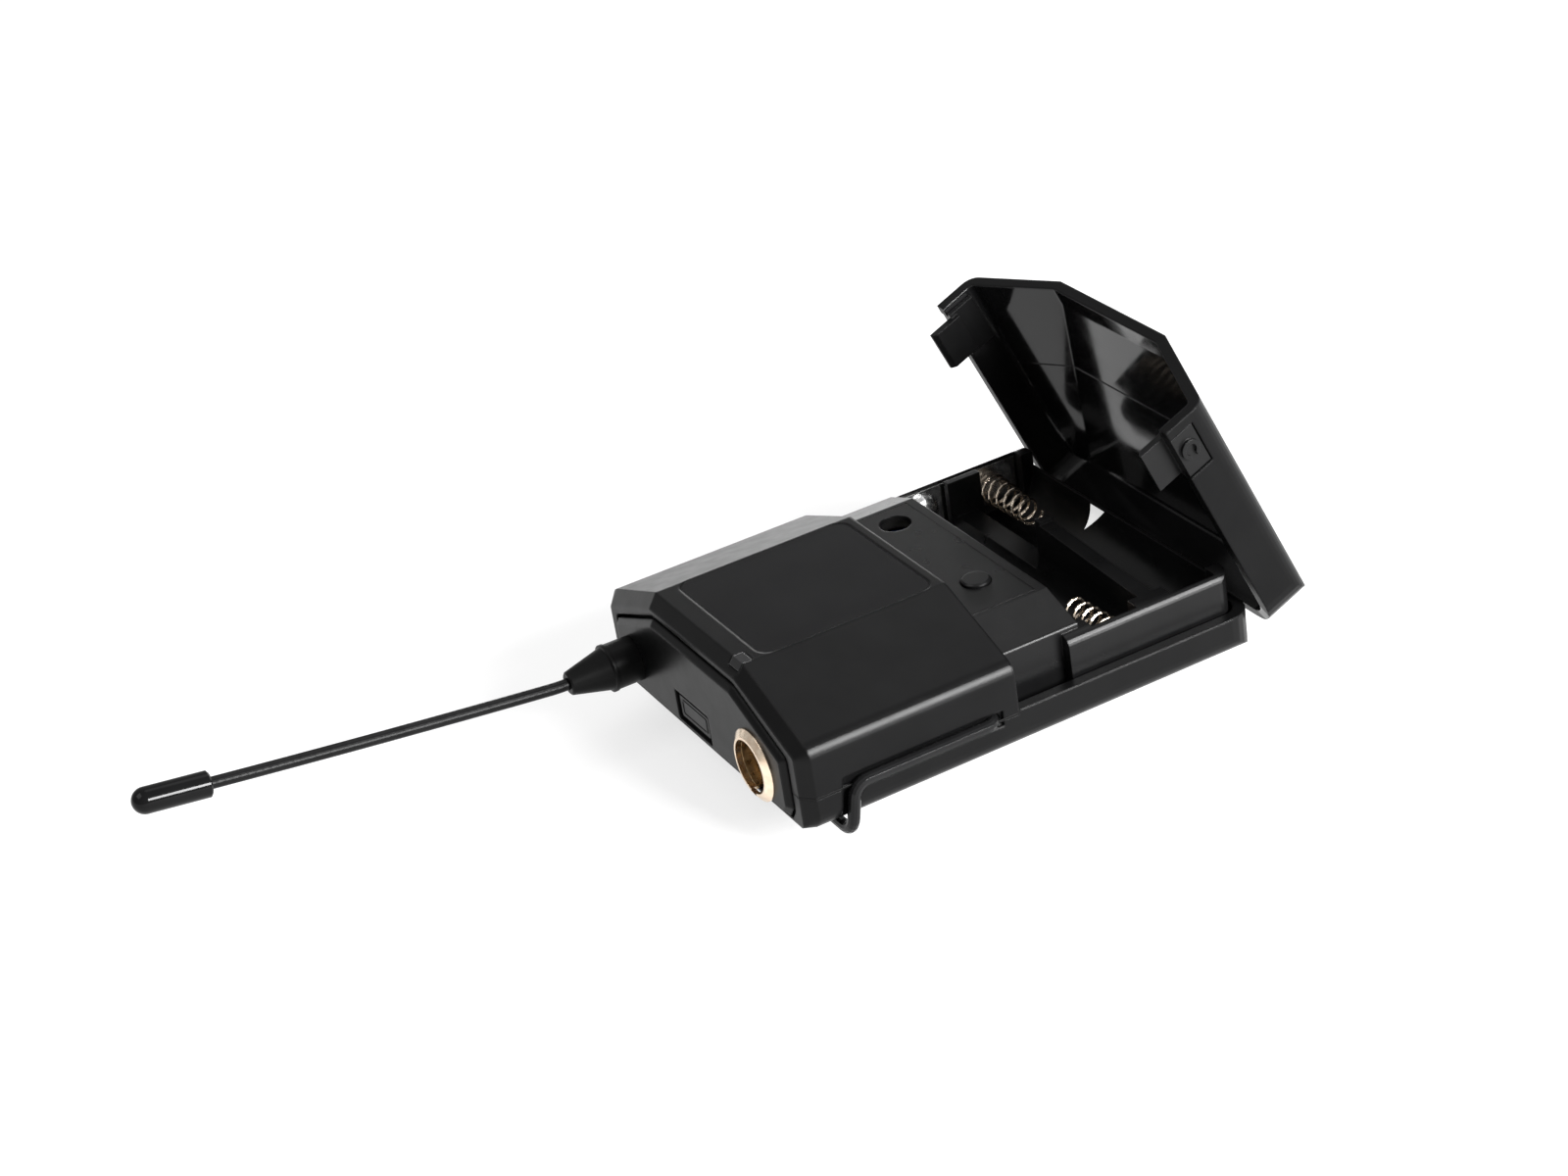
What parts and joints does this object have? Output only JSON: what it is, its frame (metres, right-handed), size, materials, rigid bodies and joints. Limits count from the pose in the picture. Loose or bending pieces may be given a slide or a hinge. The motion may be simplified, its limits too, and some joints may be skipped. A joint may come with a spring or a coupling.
{
  "type": "wireless bodypack transmitter",
  "caption": "Belt-worn wireless microphone transmitter: case with sprung wire clip, whip antenna, round locking socket, hinged battery door over a cell bay.",
  "frame": {"origin": "centre of the rear shell's flat back face", "axes": "+X across the case towards the socket side, +Y along the case from the antenna end to the door hinge, +Z out of the front face"},
  "size_m": [0.0628, 0.1615, 0.0498],
  "materials": {
    "case_plastic": "satin black moulding with a very fine grain",
    "label_film": "smooth semi-gloss black film",
    "window_plastic": "smoked clear plastic",
    "led_body": "moulded lamp body",
    "trim_plastic": "satin black moulding",
    "switch_body": "moulded component bodies",
    "trimmer_blue": "moulded trimmer body",
    "trimmer_rotor": "moulded rotor",
    "plated_gold": "pale champagne plating",
    "insulator": "dark insulating plastic",
    "boot_rubber": "soft satin black rubber",
    "whip_sleeve": "smooth black sleeve over spring wire",
    "tip_plastic": "smooth black cap",
    "spring_wire": "drawn spring wire",
    "nickel_plate": "bright nickel plating",
    "clip_coat": "gloss black coating on steel wire",
    "board_green": "solder mask"
  },
  "bodies": {
    "case": {"rear_shell": "case_plastic", "front_shell": "case_plastic", "battery_tub": "case_plastic", "end_panel": "case_plastic", "label_plate": "label_film", "control_plate": "case_plastic", "status_window": "window_plastic", "status_led": "led_body", "power_switch": "switch_body", "set_switch": "switch_body", "gain_trimmer": "trimmer_blue", "socket_ring": "plated_gold", "socket_barrel": "plated_gold", "socket_insulator": "insulator", "socket_pins": "plated_gold", "antenna_boot": "boot_rubber", "antenna_ferrule": "nickel_plate", "antenna_whip": "whip_sleeve", "antenna_tip": "tip_plastic", "cell_spring_near": "spring_wire", "cell_spring_far": "spring_wire", "contact_link": "nickel_plate", "contact_minus": "nickel_plate", "contact_plus": "nickel_plate", "hinge_pins": "nickel_plate", "clip_hooks": "clip_coat", "circuit_board": "board_green", "shield_can": "nickel_plate", "board_parts": "switch_body", "case_screws": "nickel_plate"},
    "door": {"battery_door": "case_plastic"},
    "latch_near": {"latch_near": "trim_plastic"},
    "latch_far": {"latch_far": "trim_plastic"},
    "power_button": {"power_button": "trim_plastic"},
    "set_button": {"set_button": "trim_plastic"},
    "gain_rotor": {"gain_rotor": "trimmer_rotor"},
    "clip_loop": {"clip_loop": "clip_coat"}
  },
  "joints": [
    {"name": "door_hinge", "type": "hinge", "parent": "case", "child": "door", "pos_m": [0, 0.0352, 0.00135], "axis": [-1, 0, 0], "range_deg": [-67, 18]},
    {"name": "latch_near_press", "type": "slide", "parent": "door", "child": "latch_near", "axis": [-1, 0, 0], "range_m": [0, 0.0008], "stiffness_N_per_m": 2500},
    {"name": "latch_far_press", "type": "slide", "parent": "door", "child": "latch_far", "axis": [1, 0, 0], "range_m": [0, 0.0008], "stiffness_N_per_m": 2500},
    {"name": "power_press", "type": "slide", "parent": "case", "child": "power_button", "axis": [0, 1, 0], "range_m": [0, 0.0004], "stiffness_N_per_m": 3000},
    {"name": "set_press", "type": "slide", "parent": "case", "child": "set_button", "axis": [0, 0, -1], "range_m": [0, 0.0005], "stiffness_N_per_m": 3000},
    {"name": "gain_turn", "type": "hinge", "parent": "case", "child": "gain_rotor", "pos_m": [-0.0133, 0.0039, 0.012], "axis": [0, 0, 1], "range_deg": [-135, 135]},
    {"name": "clip_flex", "type": "hinge", "parent": "case", "child": "clip_loop", "pos_m": [0, -0.0312, -0.0016], "axis": [-1, 0, 0], "range_deg": [0, 8], "stiffness_Nm_per_rad": 0.6}
  ]
}
